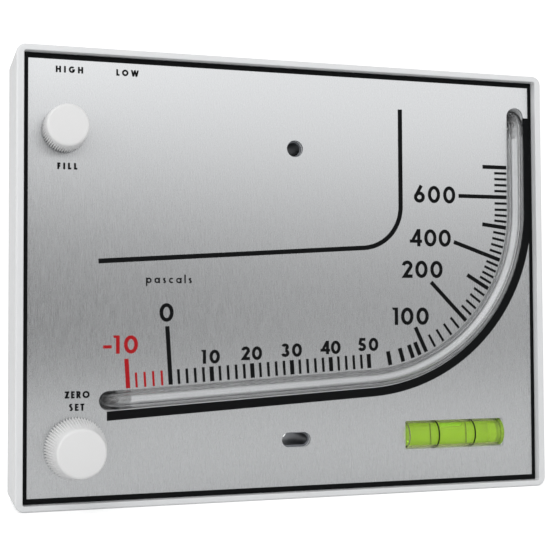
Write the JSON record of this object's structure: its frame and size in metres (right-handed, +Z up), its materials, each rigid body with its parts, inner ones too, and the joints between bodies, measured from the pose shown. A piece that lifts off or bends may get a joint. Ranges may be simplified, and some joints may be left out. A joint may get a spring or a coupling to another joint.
{
  "type": "inclined vertical tube manometer",
  "caption": "Wall gauge with an inclined and bent clear tube beside a brushed scale plate, a zero set knob, a fill plug and a levelling vial.",
  "frame": {"origin": "centre of the back face, which lies on the wall", "axes": "+X to the right along the long side, +Z up, +Y into the wall; the scale faces -Y"},
  "size_m": [0.196, 0.0442, 0.1552],
  "materials": {
    "white_plastic": "moulded, glossy white",
    "knob_plastic": "moulded, satin white",
    "stem_plastic": "moulded, natural white",
    "cover_plastic": "moulded sheet, satin white",
    "scale_aluminium": "brushed upright, clear anodised",
    "black_ink": "screen printed black",
    "red_ink": "screen printed red",
    "clear_tube": "clear extruded plastic",
    "vial_plastic": "clear moulded acrylic",
    "level_liquid": "yellow green liquid",
    "seal_rubber": "black nitrile",
    "sleeve_steel": "dark zinc plated",
    "bushing_brass": "turned brass"
  },
  "bodies": {
    "case": {"housing": "white_plastic", "scale_plate": "scale_aluminium", "border_and_band_print": "black_ink", "panel_line_print": "black_ink", "scale_marks": "black_ink", "negative_scale_marks": "red_ink", "indicator_tube": "clear_tube", "lower_tube_seal": "seal_rubber", "upper_tube_seal": "seal_rubber", "hanging_sleeve": "sleeve_steel", "levelling_sleeve": "sleeve_steel", "level_vial": "vial_plastic", "level_vial_plug": "vial_plastic", "level_vial_liquid": "level_liquid", "level_vial_rings": "black_ink", "zero_bushing": "bushing_brass", "well_cover": "cover_plastic", "trap_cover": "cover_plastic"},
    "displacer_seal": {"displacer_ring": "seal_rubber"},
    "zero_knob": {"zero_set_knob": "knob_plastic", "zero_displacer": "stem_plastic"},
    "plug_gasket": {"fill_gasket": "seal_rubber"},
    "filler": {"fill_plug": "knob_plastic"}
  },
  "joints": [
    {"name": "zero_travel", "type": "slide", "parent": "case", "child": "displacer_seal", "axis": [0, -1, 0], "range_m": [0, 0.0075]},
    {"name": "zero_turn", "type": "hinge", "parent": "displacer_seal", "child": "zero_knob", "pos_m": [-0.078, -0.036, -0.0574], "axis": [0, -1, 0], "range_deg": [0, 2160]},
    {"name": "plug_lift", "type": "slide", "parent": "case", "child": "plug_gasket", "axis": [0, -1, 0], "range_m": [0, 0.0075]},
    {"name": "plug_turn", "type": "hinge", "parent": "plug_gasket", "child": "filler", "pos_m": [-0.082, -0.034, 0.0494], "axis": [0, -1, 0], "range_deg": [0, 2160]}
  ],
  "couplings": [
    {"joint": "zero_travel", "follows": "zero_turn", "m_per_rad": 0.00019894},
    {"joint": "plug_lift", "follows": "plug_turn", "m_per_rad": 0.00019894}
  ]
}
